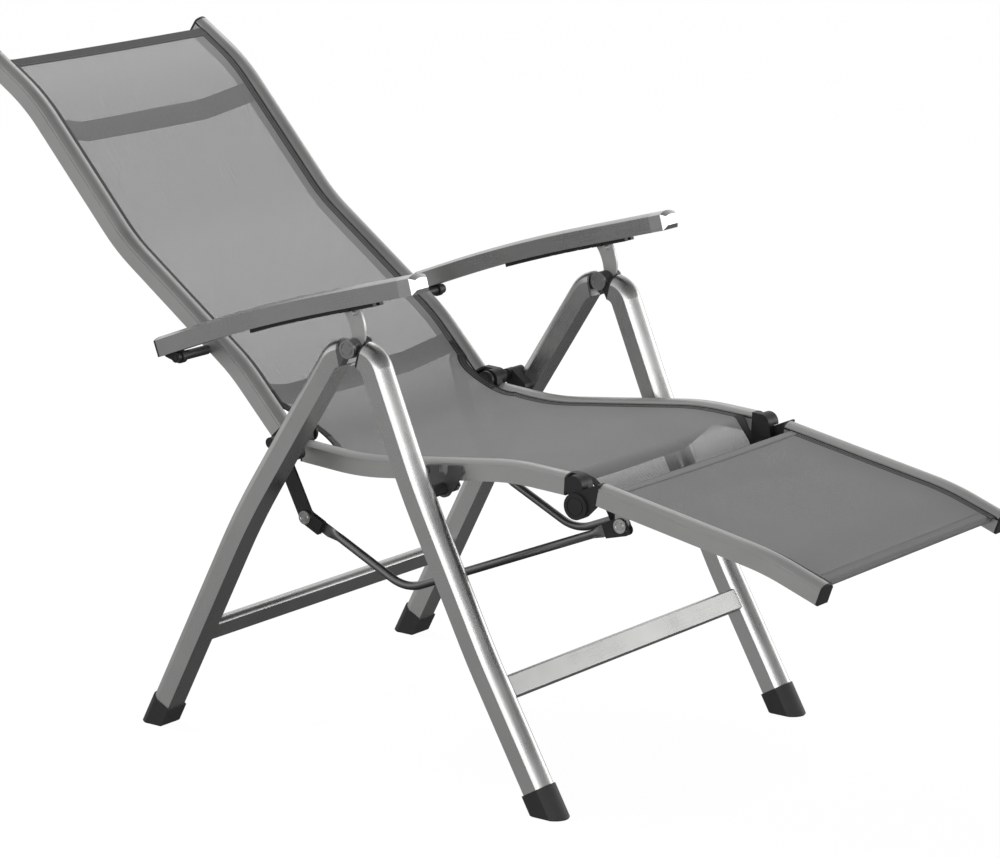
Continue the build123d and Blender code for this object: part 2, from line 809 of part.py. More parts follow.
def make_foot_tab():
    """Tab inside the footrest rail, down to the link rod's front pin."""
    top = along(foot_pin, 90, tab_rise)
    piece = plate(bar_face(foot_pin, top, tab_width), lever_inner, lever_outer)
    return piece - pivot_bore(foot_pin, rivet_radius, fit_gap)


# Armrests
def armrest_outline(gap):
    return crowned_face(armrest_width + 2 * gap, armrest_height + 2 * gap, armrest_crown, front_flip)


def armrest_run(section, points, radii):
    return sweep_rail(section, points, radii, armrest_x)


def make_armrest():
    bore_width = armrest_width - 2 * armrest_wall
    bore_height = armrest_height - 2 * armrest_wall
    tube = armrest_outline(0) - crowned_face(bore_width, bore_height, armrest_crown, front_flip)
    return armrest_run(tube, armrest_points, [armrest_bend_radius])


def make_armrest_cap():
    """Chamfered cap on the front end."""
    end = armrest_points[-1]
    angle = heading(armrest_points[-2], end)
    tip = along(end, angle, armrest_cap_length)
    cap = armrest_run(armrest_outline(0), [end, tip], [])
    front = cap.faces().sort_by(Axis((0, *end), (0, cos(radians(angle)), sin(radians(angle)))))[-1]
    return chamfer(front.edges(), armrest_cap_chamfer)


def make_armrest_fitting():
    """Plug in the rear end, in one piece with the lug down to the bolt on the back rail."""
    start = armrest_points[0]
    angle = heading(start, armrest_points[1])
    back_end = along(start, angle, -flange_thickness)
    plug = armrest_run(armrest_outline(0), [back_end, start], [])
    underside = along(back_end, angle + 90, armrest_height / 2)
    foot = block_face(underside, angle, armrest_lug_length, flange_thickness)
    half = armrest_lug_thickness / 2
    shape = hull_face(foot, round_at(armrest_pivot, armrest_lug_radius))
    lug = plate(shape, armrest_x - half, armrest_x + half)
    lug = lug - armrest_run(armrest_outline(0), armrest_points, [armrest_bend_radius])
    return plug + lug - pivot_bore(armrest_pivot, pivot_radius, pivot_gap)


def make_armrest_bolt():
    half = armrest_lug_thickness / 2
    lug_face = armrest_x - half - moving_gap
    start = armrest_x + half + moving_gap
    shank = cylinder(armrest_pivot, pivot_radius, rail_outer, start)
    sleeve = cylinder(armrest_pivot, sleeve_radius, rail_outer, lug_face)
    knob = ringed_disc(armrest_pivot, armrest_knob_radius, start, start + armrest_knob_length)
    return shank + sleeve + knob


def make_rack():
    """Notched strip under the armrest; its slot straddles the latch plate."""
    drop = (armrest_height + rack_height) / 2
    strip = Pos(0, -drop) * Rectangle(rack_width, rack_height)
    strip = strip - Pos(0, -drop) * Rectangle(rack_slot_width, rack_height)
    rack = armrest_run(strip, armrest_points, [armrest_bend_radius])
    angle = heading(armrest_points[-1], armrest_points[-2])
    front_end = along(armrest_points[-1], angle, rack_front_setback)
    rack = rack & plate(block_face(front_end, angle, rack_length, rack_length), leg_inner, leg_outer)
    for index in range(rack_notch_count):
        rack = rack - rack_notch(index)
    return rack


def rack_notch(index):
    """Half-round notch across both lips, one for each place of the back."""
    path = side_path(armrest_points, [armrest_bend_radius], armrest_x)
    front = armrest_points[-1]
    slope = radians(heading(front, armrest_points[-2]))
    latch_reach = (latch_point[0] - front[0]) * cos(slope) + (latch_point[1] - front[1]) * sin(slope)
    reach = path.length - latch_reach - index * rack_notch_pitch
    on_path = path.position_at(reach, position_mode=PositionMode.LENGTH)
    tangent = path.tangent_at(reach, position_mode=PositionMode.LENGTH)
    radius = latch_pin_radius + moving_gap
    drop = armrest_height / 2 + rack_height + radius - rack_notch_depth
    centre = along((on_path.Y, on_path.Z), degrees(atan2(tangent.Z, tangent.Y)) + 90, drop)
    return cylinder(centre, radius, armrest_x - rack_width, armrest_x + rack_width)


# Cross tubes
def run_point(points, share):
    """Point and direction at a share of a run's length."""
    lengths = [span(start, end) for start, end in zip(points, points[1:])]
    reach = share * sum(lengths)
    for start, end, length in zip(points, points[1:], lengths):
        if reach <= length:
            return along(start, heading(start, end), reach), heading(start, end)
        reach -= length
    return points[-1], heading(points[-2], points[-1])


def make_cross_tube(points, share, below):
    """Flat tube between two rails, bowed away from the sling; below turns from run to bow."""
    centre, angle = run_point(points, share)
    centre = along(centre, angle + below, cross_drop)
    reach = rail_inner * cross_bow_share
    down = angle + below
    run_dir = (0, -sin(radians(down)), cos(radians(down)))
    plane = Plane(origin=(0, *centre), x_dir=(1, 0, 0), z_dir=run_dir)
    path = plane * FilletPolyline(
        (-rail_inner, 0), (-reach, cross_bow), (reach, cross_bow), (rail_inner, 0), radius=[cross_bend_radius] * 2)
    start = Plane(origin=path @ 0, x_dir=run_dir, z_dir=path % 0)
    tube = sweep(start * oval_tube(cross_width, cross_depth, cross_crown, cross_wall), path=path)
    room = 2 * cross_bow
    end_cut = Pos(rail_inner + room / 2, *centre) * Box(room, 2 * room, 2 * room)
    return tube - end_cut - mirror(end_cut, about=Plane.YZ)


def make_hem_rod():
    """Straight rod under the front hem of the footrest sling."""
    end = footrest_points[-1]
    angle = heading(end, footrest_points[-2])
    centre = along(along(end, angle, hem_rod_setback), angle + 90, hem_rod_rise)
    return cylinder(centre, hem_rod_radius, -rail_inner, rail_inner)


# Slings
def make_sling(points, radius, above, start_trim, end_trim):
    """Thin band of cloth between two rails, with a bead along each edge in the keder channel."""
    trimmed = list(points)
    trimmed[0] = along(points[0], heading(points[0], points[1]), start_trim)
    trimmed[-1] = along(points[-1], heading(points[-1], points[-2]), end_trim)
    radii = [radius] * (len(points) - 2)
    path = side_path(trimmed, radii, 0)
    start = Plane(origin=path @ 0, x_dir=(1, 0, 0), z_dir=path % 0)
    half, free = rail_inner + keder_inset, rail_inner
    low = above * (keder_height - sling_thickness / 2)
    high = above * (keder_height + sling_thickness / 2)
    sag = above * sling_sag
    band = make_face(Wire([
        ThreePointArc((-free, low), (0, low - sag), (free, low)).edge(),
        Edge.make_line((free, low), (half, low)),
        Edge.make_line((half, low), (half, high)),
        Edge.make_line((half, high), (free, high)),
        ThreePointArc((free, high), (0, high - sag), (-free, high)).edge(),
        Edge.make_line((-free, high), (-half, high)),
        Edge.make_line((-half, high), (-half, low)),
        Edge.make_line((-half, low), (-free, low)),
    ]))
    for side in (-1, 1):
        band = band + Pos(side * half, above * keder_height) * Circle(bead_radius)
    return sweep(start * band, path=path)


# Export
def solids_of(pieces):
    return [solid for piece in pieces for solid in piece.solids()]


def pair(make):
    """A piece on the +X side and its mirror image, as two lists of solids."""
    made = make()
    left = solids_of(made) if isinstance(made, (list, tuple)) else list(made.solids())
    right = [mirror(solid, about=Plane.YZ) for solid in left]
    return left, right


nodes = {}


def add_pair(name, make):
    """One node for each side of the chair."""
    nodes[name + "_left"], nodes[name + "_right"] = pair(make)


def add_group(name, *makes):
    """One node with the pieces of both sides."""
    nodes[name] = []
    for make in makes:
        left, right = pair(make)
        nodes[name] += left + right


def add_single(name, piece):
    nodes[name] = list(piece.solids())


def bored_front_leg():
    bore = cylinder(seat_pivot, pivot_radius + fit_gap, 0, leg_x)
    return make_leg(front_leg_points, front_leg_radii, front_flip) - bore


def front_hub_plug():
    relief = fold_relief(-fold_line, 1)
    plug = leg_plug(front_leg_points, front_leg_radii, front_flip, leg_inner, latch_inner, relief)
    return plug - hub_bore(fit_gap)


def rear_hub_plug():
    line = legs_fold + fold_margin - fold_line
    lug_inner = latch_outer + moving_gap
    relief = fold_relief(line, -1)
    plug = leg_plug(rear_leg_points, rear_leg_radii, rear_flip, lug_inner, leg_outer, relief)
    return plug - hub_bore(pivot_gap)


def build_frame():
    add_pair("front_leg", bored_front_leg)
    add_pair("rear_leg", lambda: make_leg(rear_leg_points, rear_leg_radii, rear_flip))
    add_group("front_foot_caps", lambda: make_foot(front_leg_points, front_flip))
    add_group("rear_foot_caps", lambda: make_foot(rear_leg_points, rear_flip))
    add_single("front_crossbar", crossbar(
        front_foot, front_leg_slopes[2], front_crossbar_height, front_crossbar_setback))
    add_single("rear_crossbar", crossbar(
        rear_foot, -rear_leg_slopes[1], rear_crossbar_height, rear_crossbar_setback))
    add_group("front_leg_hub_plugs", front_hub_plug)
    add_group("rear_leg_hub_plugs", rear_hub_plug)
    add_group("hub_bolts", make_hub_bolt)
    add_group("armrest_latches", make_latch, make_latch_pin)
    add_group("hinge_cradles", make_cradle)
    add_group("seat_pivot_bolts", make_seat_bolt)
    add_group("seat_pivot_spacers", make_seat_spacers)
    add_group("seat_pivot_nuts", make_seat_nut)


def build_seat():
    add_pair("seat_rail", lambda: make_rail(seat_points, seat_bend_radius, front_flip))
    add_group("seat_rear_knuckles", make_seat_rear_knuckle)
    add_group("seat_front_knuckles", make_seat_front_knuckle)
    add_group("back_hinge_bolts", make_hinge_bolt)
    add_group("back_hinge_sleeves", make_hinge_sleeve)
    add_group("back_hinge_knobs", make_hinge_knob)
    add_group("seat_brackets", make_seat_bracket, make_bracket_rivets)
    add_group("knee_bolts", make_knee_bolt)
    add_single("seat_front_cross_tube", make_cross_tube(seat_points, seat_cross_share, 90))
    add_single("seat_sling", make_sling(
        seat_points, seat_bend_radius, front_flip, seat_sling_rear_margin, sling_end_margin))


def build_back():
    add_pair("back_rail", lambda: make_rail(back_points, back_bend_radius, back_flip))
    add_group("back_knuckles", make_back_knuckle)
    add_group("back_top_caps", lambda: rail_cap(back_points, back_flip))
    add_group("footrest_levers", make_lever)
    add_group("lever_pins_and_rivets", lambda: pin_with_heads(lever_pin), make_lever_rivets)
    add_group("armrest_pivot_bolts", make_armrest_bolt)
    add_single("back_upper_cross_tube", make_cross_tube(back_points, upper_cross_share, -90))
    add_single("back_lumbar_cross_tube", make_cross_tube(back_points, lumbar_cross_share, -90))
    add_single("back_sling", make_sling(
        back_points, back_bend_radius, back_flip, sling_end_margin, sling_end_margin))


def build_footrest():
    add_pair("footrest_rail", lambda: make_rail(footrest_points, footrest_bend_radius, front_flip))
    add_group("footrest_knuckles", make_footrest_knuckle)
    add_group("footrest_end_caps", lambda: rail_cap(footrest_points, front_flip))
    add_group("footrest_link_tabs", make_foot_tab)
    add_group("footrest_link_pins", lambda: pin_with_heads(foot_pin))
    add_single("footrest_front_cross_tube", make_hem_rod())
    front_margin = hem_rod_setback + hem_rod_radius + hem_rod_room
    add_single("footrest_sling", make_sling(
        footrest_points, footrest_bend_radius, front_flip, sling_end_margin, front_margin))


def make_clevises():
    rear_angle = heading(link_points[0], link_points[1])
    front_angle = heading(link_points[2], link_points[1])
    rear = make_clevis(lever_pin, rear_angle, None)
    front = make_clevis(foot_pin, front_angle, clevis_slot_angle)
    return [rear, front]


def build_links():
    add_pair("link_rod", make_link_rod)
    add_pair("link_clevises", make_clevises)


def build_armrests():
    add_pair("armrest", make_armrest)
    add_pair("armrest_front_cap", make_armrest_cap)
    add_pair("armrest_rear_fitting", make_armrest_fitting)
    add_pair("armrest_rack", make_rack)


def export_nodes():
    """Move the chair so that the origin is under its middle, then write one file a node."""
    boxes = [solid.bounding_box() for solids in nodes.values() for solid in solids]
    middle = (min(box.min.Y for box in boxes) + max(box.max.Y for box in boxes)) / 2
    for name, solids in nodes.items():
        moved = [Pos(0, -middle, 0) * solid for solid in solids]
        shape = moved[0] if len(moved) == 1 else Compound(moved)
        export_step(shape, os.path.join("parts", name + ".step"))
    print("hub is at Y", -middle)


build_frame()
build_seat()
build_back()
build_footrest()
build_links()
build_armrests()
export_nodes()
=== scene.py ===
from math import cos, pi, radians, sin

import bpy
import numpy as np
from mathutils import Matrix, Vector


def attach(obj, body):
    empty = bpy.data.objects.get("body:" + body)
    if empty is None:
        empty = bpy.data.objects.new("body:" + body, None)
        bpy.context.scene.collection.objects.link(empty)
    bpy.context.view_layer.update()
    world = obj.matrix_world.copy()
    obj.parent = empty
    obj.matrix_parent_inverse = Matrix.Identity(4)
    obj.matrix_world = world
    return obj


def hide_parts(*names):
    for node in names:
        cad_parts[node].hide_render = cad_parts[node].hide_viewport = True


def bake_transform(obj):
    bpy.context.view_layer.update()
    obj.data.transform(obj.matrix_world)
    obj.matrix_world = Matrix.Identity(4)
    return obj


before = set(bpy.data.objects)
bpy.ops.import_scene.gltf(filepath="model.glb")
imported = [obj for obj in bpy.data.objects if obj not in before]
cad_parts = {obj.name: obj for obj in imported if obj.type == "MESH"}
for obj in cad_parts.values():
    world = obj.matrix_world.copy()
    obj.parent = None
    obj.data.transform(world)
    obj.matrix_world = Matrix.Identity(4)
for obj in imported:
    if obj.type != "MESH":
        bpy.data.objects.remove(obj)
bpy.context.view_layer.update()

# View, as the photograph has it
cameraView = {
    "place": (-4.50913, -3.32531, 1.75285),
    "azimuth": -53.842361,
    "elevation": 13.476620,
    "roll": 0.538163,
    "sensor": 36.0,
    "lens": 152.662,
    "farClip": 200,
}


def placeCamera():
    turn, lift, roll = (radians(cameraView[key]) for key in ("azimuth", "elevation", "roll"))
    right = Vector((cos(turn), sin(turn), 0))
    back = Vector((sin(turn) * cos(lift), -cos(turn) * cos(lift), sin(lift)))
    up = back.cross(right)
    rolledRight = cos(roll) * right + sin(roll) * up
    rolledUp = cos(roll) * up - sin(roll) * right
    camera = bpy.data.objects.new("camera", bpy.data.cameras.new("camera"))
    camera.data.sensor_width = cameraView["sensor"]
    camera.data.lens = cameraView["lens"]
    camera.data.clip_end = cameraView["farClip"]
    turned = Matrix((rolledRight, rolledUp, back)).transposed().to_4x4()
    camera.matrix_world = Matrix.Translation(cameraView["place"]) @ turned
    bpy.context.scene.collection.objects.link(camera)
    bpy.context.scene.camera = camera


placeCamera()

# Studio: a white floor that glows, so that it stays even, a grey sky with a bright band over the
# horizon, a brighter panel in front of the chair under a darker wall, and two soft lamps
# Stops are (elevation in degrees, brightness)
studio = {
    "floorHalf": 60.0,
    "floorColour": (0.05, 0.05, 0.05, 1),
    "floorRoughness": 0.9,
    "floorGlow": 0.97,
    "skyStops": [(-90, 0.03), (-45, 0.06), (-27, 0.19), (-15, 0.40), (-6, 0.28),
                 (1, 0.52), (8, 0.95), (24, 0.80), (34, 0.66), (60, 0.42)],
    "frontStops": [(-4, 0.0), (0, 1.0), (14, 1.0), (19, 0.0)],
    "frontLevel": 2.4,
    "frontShade": 0.7,
    "frontEdge": 0.25,
    "shadeTop": 0.3,
    "lamps": {
        "overhead": {"place": (0.2, 1.5, 3.1), "aim": (0, 0, 0.4), "size": (2.4, 2.0), "power": 92,
                     "reflected": False},
        "top": {"place": (1.45, 0.85, 1.95), "aim": (0.1, 0.66, 0.85), "size": (0.5, 0.6), "power": 1.6,
                "reflected": True},
    },
}


def newMaterial(name):
    material = bpy.data.materials.new(name)
    material.use_nodes = True
    return material, material.node_tree, material.node_tree.nodes["Principled BSDF"]


# Node helpers: wire makes a node, each of the others returns a socket
def wire(tree, kind, values=None, **settings):
    node = tree.nodes.new(kind)
    for key, value in settings.items():
        setattr(node, key, value)
    for key, value in (values or {}).items():
        socket = node.inputs[key]
        if hasattr(value, "is_output"):
            tree.links.new(value, socket)
        else:
            socket.default_value = value
    return node


def calc(tree, operation, first, second=0.0):
    return wire(tree, "ShaderNodeMath", {0: first, 1: second}, operation=operation).outputs[0]


def ranged(tree, value, fromLow, fromHigh, low=0.0, high=1.0):
    values = {"Value": value, "From Min": fromLow, "From Max": fromHigh, "To Min": low, "To Max": high}
    return wire(tree, "ShaderNodeMapRange", values).outputs["Result"]


def objectPoint(tree, slope=0.0, stretch=(1, 1, 1)):
    coords = tree.nodes.new("ShaderNodeTexCoord").outputs["Object"]
    tilt = {"Vector": coords, "Rotation": (radians(slope), 0, 0)}
    turned = wire(tree, "ShaderNodeMapping", tilt, vector_type="TEXTURE").outputs[0]
    return wire(tree, "ShaderNodeMapping", {"Vector": turned, "Scale": stretch}).outputs[0]


def noise(tree, point, scale, detail=3.0, rough=0.5):
    values = {"Vector": point, "Scale": scale, "Detail": detail, "Roughness": rough}
    return wire(tree, "ShaderNodeTexNoise", values).outputs["Fac"]


def spread(tree, value, low, high, noiseLow=0.3, noiseHigh=0.7):
    return ranged(tree, value, noiseLow, noiseHigh, low, high)


def tinted(tree, factor, dark, light):
    # Inputs 6 and 7 and output 2 of a mix are its colours
    made = wire(tree, "ShaderNodeMix", {"Factor": factor}, data_type="RGBA")
    made.inputs[6].default_value = (*dark, 1)
    made.inputs[7].default_value = (*light, 1)
    return made.outputs[2]


def bump(tree, height, distance, strength=1.0, under=None):
    values = {"Height": height, "Distance": distance, "Strength": strength}
    if under is not None:
        values["Normal"] = under
    return wire(tree, "ShaderNodeBump", values).outputs[0]


def elevationRamp(tree, height, levels):
    # height runs from 0 straight down to 1 straight up, as (sin(elevation) + 1) / 2
    ramp = tree.nodes.new("ShaderNodeValToRGB")
    tree.links.new(height, ramp.inputs[0])
    stops = ramp.color_ramp.elements
    for place, (elevation, level) in enumerate(levels):
        position = (sin(radians(elevation)) + 1) / 2
        stop = stops[place] if place < 2 else stops.new(position)
        stop.position = position
        stop.color = (level, level, level, 1)
    return ramp.outputs[0]


def makeFloor():
    half = studio["floorHalf"]
    corners = [(-half, -half, 0), (half, -half, 0), (half, half, 0), (-half, half, 0)]
    mesh = bpy.data.meshes.new("floor")
    mesh.from_pydata(corners, [], [(0, 1, 2, 3)])
    floor = bpy.data.objects.new("floor", mesh)
    bpy.context.scene.collection.objects.link(floor)
    material, tree, shader = newMaterial("paleFloor")
    shader.inputs["Base Color"].default_value = studio["floorColour"]
    shader.inputs["Roughness"].default_value = studio["floorRoughness"]
    shader.inputs["Specular IOR Level"].default_value = 0.0
    shader.inputs["Emission Color"].default_value = (1, 1, 1, 1)
    shader.inputs["Emission Strength"].default_value = studio["floorGlow"]
    mesh.materials.append(material)
    floor.visible_glossy = False
    floor.visible_diffuse = False


def makeLamps():
    for name, lamp in studio["lamps"].items():
        data = bpy.data.lights.new(name, "AREA")
        data.shape = "RECTANGLE"
        data.size, data.size_y = lamp["size"]
        data.energy = lamp["power"]
        light = bpy.data.objects.new(name, data)
        turned = (Vector(lamp["aim"]) - Vector(lamp["place"])).to_track_quat("-Z", "Y")
        light.matrix_world = Matrix.Translation(lamp["place"]) @ turned.to_matrix().to_4x4()
        light.visible_camera = False
        light.visible_glossy = lamp["reflected"]
        bpy.context.scene.collection.objects.link(light)


def makeSky():
    world = bpy.data.worlds.new("studio")
    bpy.context.scene.world = world
    world.use_nodes = True
    tree = world.node_tree
    coords = tree.nodes.new("ShaderNodeTexCoord")
    split = wire(tree, "ShaderNodeSeparateXYZ", {0: coords.outputs["Generated"]})
    height = calc(tree, "MULTIPLY", calc(tree, "ADD", split.outputs["Z"], 1.0), 0.5)
    sky = elevationRamp(tree, height, studio["skyStops"])
    panel = elevationRamp(tree, height, studio["frontStops"])
    ahead = ranged(tree, split.outputs["Y"], studio["frontEdge"], -studio["frontEdge"])
    above = ranged(tree, split.outputs["Z"], 0.0, studio["shadeTop"])
    # level = sky * (1 - shade) + panel, where shade and panel lie only ahead of the chair
    shade = calc(tree, "MULTIPLY", calc(tree, "MULTIPLY", ahead, above), studio["frontShade"])
    lit = calc(tree, "MULTIPLY", calc(tree, "MULTIPLY", panel, ahead), studio["frontLevel"])
    dimmed = calc(tree, "MULTIPLY", sky, calc(tree, "SUBTRACT", 1.0, shade))
    background = tree.nodes["Background"]
    background.inputs["Color"].default_value = (1, 1, 1, 1)
    tree.links.new(calc(tree, "ADD", dimmed, lit), background.inputs["Strength"])


makeFloor()
makeLamps()
makeSky()
bpy.context.scene.view_settings.view_transform = "Standard"
print("view and studio set")

# Depths are in metres; runStretch draws the noise out into lines along a piece, and the uneven pairs are
# what clouds or grain add to the roughness
grain = {
    "runStretch": 0.012,
    "gritScale": 1400.0,
    "gritDepth": 0.00001,
    "lineDepth": 0.00002,
    "metalBump": 0.1,
    "metalUneven": (-0.03, 0.05),
    "coatBump": 0.5,
    "coatUneven": (-0.05, 0.07),
    "coatClouds": 60.0,
    "coatDarker": 0.82,
}


# Drawn aluminium and steel: fine lines along the run, cloudy patches, a faint orange peel
def satinMetal(name, finish, slope):
    material, tree, shader = newMaterial(name)
    if slope is None:
        run = objectPoint(tree, stretch=(grain["runStretch"], 1, 1))
    else:
        run = objectPoint(tree, slope, (1, grain["runStretch"], 1))
    lines = noise(tree, run, finish["lineScale"], detail=2.0)
    clouds = noise(tree, objectPoint(tree), finish["cloudScale"], detail=4.0, rough=0.6)
    grit = noise(tree, objectPoint(tree), grain["gritScale"], detail=2.0)
    dark = tuple(share * finish["darker"] for share in finish["colour"])
    patch = tinted(tree, spread(tree, clouds, 0.0, 1.0), dark, finish["colour"])
    tree.links.new(patch, shader.inputs["Base Color"])
    drawn = spread(tree, lines, -finish["lineSwing"], finish["lineSwing"])
    smooth = calc(tree, "ADD", drawn, finish["roughness"])
    smooth = calc(tree, "ADD", smooth, spread(tree, clouds, *grain["metalUneven"]))
    tree.links.new(smooth, shader.inputs["Roughness"])
    shader.inputs["Metallic"].default_value = finish["metallic"]
    fine = bump(tree, lines, grain["lineDepth"], grain["metalBump"])
    tree.links.new(bump(tree, grit, grain["gritDepth"], grain["metalBump"], fine), shader.inputs["Normal"])
    return material


# Moulded plastic or powder coat: even colour with a fine grain
def grainy(name, finish):
    material, tree, shader = newMaterial(name)
    fine = noise(tree, objectPoint(tree), finish["grainScale"], rough=0.6)
    clouds = noise(tree, objectPoint(tree), grain["coatClouds"])
    dark = tuple(share * grain["coatDarker"] for share in finish["colour"])
    patch = tinted(tree, spread(tree, clouds, 0, 1), dark, finish["colour"])
    tree.links.new(patch, shader.inputs["Base Color"])
    low, high = (finish["roughness"] + change for change in grain["coatUneven"])
    tree.links.new(spread(tree, fine, low, high), shader.inputs["Roughness"])
    shader.inputs["Metallic"].default_value = finish["metallic"]
    tree.links.new(bump(tree, fine, finish["grainDepth"], grain["coatBump"]), shader.inputs["Normal"])
    return material


# lineSwing is how far the drawn lines push the roughness either way, the scales are those of the noises
finishes = {
    "legAluminium": {"colour": (0.62, 0.62, 0.61), "darker": 0.93, "roughness": 0.28, "metallic": 1.0,
                     "lineScale": 900.0, "lineSwing": 0.02, "cloudScale": 9.0},
    "railAluminium": {"colour": (0.62, 0.62, 0.61), "darker": 0.94, "roughness": 0.44, "metallic": 1.0,
                      "lineScale": 900.0, "lineSwing": 0.02, "cloudScale": 9.0},
    "armrestAluminium": {"colour": (0.52, 0.52, 0.515), "darker": 0.94, "roughness": 0.28,
                         "metallic": 1.0, "lineScale": 800.0, "lineSwing": 0.02, "cloudScale": 9.0},
    "brightCap": {"colour": (0.66, 0.66, 0.66), "darker": 0.96, "roughness": 0.28, "metallic": 1.0,
                  "lineScale": 700.0, "lineSwing": 0.03, "cloudScale": 20.0},
    "rodSteel": {"colour": (0.26, 0.26, 0.26), "darker": 0.85, "roughness": 0.30, "metallic": 0.9,
                 "lineScale": 900.0, "lineSwing": 0.02, "cloudScale": 14.0},
    "bracketSteel": {"colour": (0.20, 0.20, 0.20), "darker": 0.90, "roughness": 0.36, "metallic": 0.8,
                     "lineScale": 800.0, "lineSwing": 0.04, "cloudScale": 30.0},
    "hubMetal": {"colour": (0.42, 0.42, 0.42), "darker": 0.90, "roughness": 0.34, "metallic": 1.0,
                 "lineScale": 900.0, "lineSwing": 0.04, "cloudScale": 60.0},
    "zinc": {"colour": (0.74, 0.74, 0.73), "darker": 0.85, "roughness": 0.26, "metallic": 1.0,
             "lineScale": 1200.0, "lineSwing": 0.04, "cloudScale": 150.0},
    "lightSteel": {"colour": (0.60, 0.60, 0.59), "darker": 0.92, "roughness": 0.38, "metallic": 0.7,
                   "lineScale": 800.0, "lineSwing": 0.04, "cloudScale": 30.0},
}
coats = {
    "blackPlastic": {"colour": (0.020, 0.020, 0.021), "roughness": 0.46, "metallic": 0.0,
                     "grainScale": 900.0, "grainDepth": 0.00005},
    "footPlastic": {"colour": (0.026, 0.026, 0.027), "roughness": 0.55, "metallic": 0.0,
                    "grainScale": 700.0, "grainDepth": 0.00008},
    "blackSteel": {"colour": (0.030, 0.030, 0.031), "roughness": 0.38, "metallic": 0.2,
                   "grainScale": 1200.0, "grainDepth": 0.00003},
    "crossTubeCoat": {"colour": (0.055, 0.055, 0.057), "roughness": 0.42, "metallic": 0.2,
                      "grainScale": 1100.0, "grainDepth": 0.00003},
}

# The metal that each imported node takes, and its run's slope in the side view, None where it runs across
metalNodes = {
    "front_leg_left": ("legAluminium", 62), "front_leg_right": ("legAluminium", 62),
    "rear_leg_left": ("legAluminium", -61), "rear_leg_right": ("legAluminium", -61),
    "front_crossbar": ("legAluminium", None), "rear_crossbar": ("legAluminium", None),
    "seat_rail_left": ("railAluminium", -4), "seat_rail_right": ("railAluminium", -4),
    "back_rail_left": ("railAluminium", 42), "back_rail_right": ("railAluminium", 42),
    "footrest_rail_left": ("railAluminium", 12), "footrest_rail_right": ("railAluminium", 12),
    "armrest_left": ("armrestAluminium", -18), "armrest_right": ("armrestAluminium", -18),
    "armrest_front_cap_left": ("brightCap", -16), "armrest_front_cap_right": ("brightCap", -16),
    "link_rod_left": ("rodSteel", -10), "link_rod_right": ("rodSteel", -10),
    "armrest_latches": ("lightSteel", 90), "footrest_link_tabs": ("lightSteel", 90),
    "seat_pivot_bolts": ("zinc", 0), "seat_pivot_nuts": ("zinc", 0),
    "lever_pins_and_rivets": ("zinc", 0), "footrest_link_pins": ("zinc", 0),
    "seat_brackets": ("bracketSteel", 0), "rear_leg_hub_plugs": ("bracketSteel", 0),
    "hub_bolts": ("hubMetal", 0),
}
# The nodes that each coat covers
coatNodes = {
    "footPlastic": ["front_foot_caps", "rear_foot_caps"],
    "blackPlastic": [
        "front_leg_hub_plugs", "knee_bolts", "seat_pivot_spacers", "hinge_cradles", "seat_rear_knuckles",
        "seat_front_knuckles", "back_hinge_sleeves", "back_hinge_knobs", "back_knuckles", "back_top_caps",
        "footrest_knuckles", "footrest_end_caps", "armrest_rear_fitting_left",
        "armrest_rear_fitting_right", "armrest_rack_left", "armrest_rack_right",
    ],
    "blackSteel": [
        "back_hinge_bolts", "footrest_levers", "link_clevises_left", "link_clevises_right",
        "armrest_pivot_bolts",
    ],
    "crossTubeCoat": [
        "seat_front_cross_tube", "back_upper_cross_tube", "back_lumbar_cross_tube",
        "footrest_front_cross_tube",
    ],
}


def finishNodes():
    made = {}
    chosen = {}
    for node, (finish, slope) in metalNodes.items():
        if (finish, slope) not in made:
            sign = "n" if slope is not None and slope < 0 else ""
            label = "Across" if slope is None else f"{abs(slope)}{sign}"
            made[finish, slope] = satinMetal(finish + label, finishes[finish], slope)
        chosen[node] = made[finish, slope]
    for coat, nodes in coatNodes.items():
        material = grainy(coat, coats[coat])
        chosen.update({node: material for node in nodes})
    for node, material in chosen.items():
        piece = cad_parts[node]
        piece.data.materials.clear()
        piece.data.materials.append(material)
    print("finishes on", len(chosen), "nodes")


finishNodes()


# A run is corners in the side view as (Y, Z), each one rounded by an arc and sampled evenly
def roundedRun(corners, bends, step=0.002, arcPoints=24):
    corners = np.array(corners, float)
    parts = [corners[:1]]
    for before, corner, after, radius in zip(corners, corners[1:], corners[2:], bends):
        toBefore = (before - corner) / np.linalg.norm(before - corner)
        toAfter = (after - corner) / np.linalg.norm(after - corner)
        half = np.arccos(np.clip(toBefore @ toAfter, -1, 1)) / 2
        middle = toBefore + toAfter
        middle = middle / np.linalg.norm(middle)
        centre = corner + middle * radius / np.sin(half)
        start = corner + toBefore * radius / np.tan(half) - centre
        end = corner + toAfter * radius / np.tan(half) - centre
        share = np.linspace(0, 1, arcPoints)[:, None]
        chord = (1 - share) * start + share * end
        parts.append(centre + radius * chord / np.linalg.norm(chord, axis=1)[:, None])
    parts.append(corners[-1:])
    rough = np.concatenate(parts)
    lengths = np.concatenate([[0], np.cumsum(np.linalg.norm(np.diff(rough, axis=0), axis=1))])
    reach = np.linspace(0, lengths[-1], int(lengths[-1] / step) + 2)
    return np.stack([np.interp(reach, lengths, rough[:, axis]) for axis in (0, 1)], 1), reach


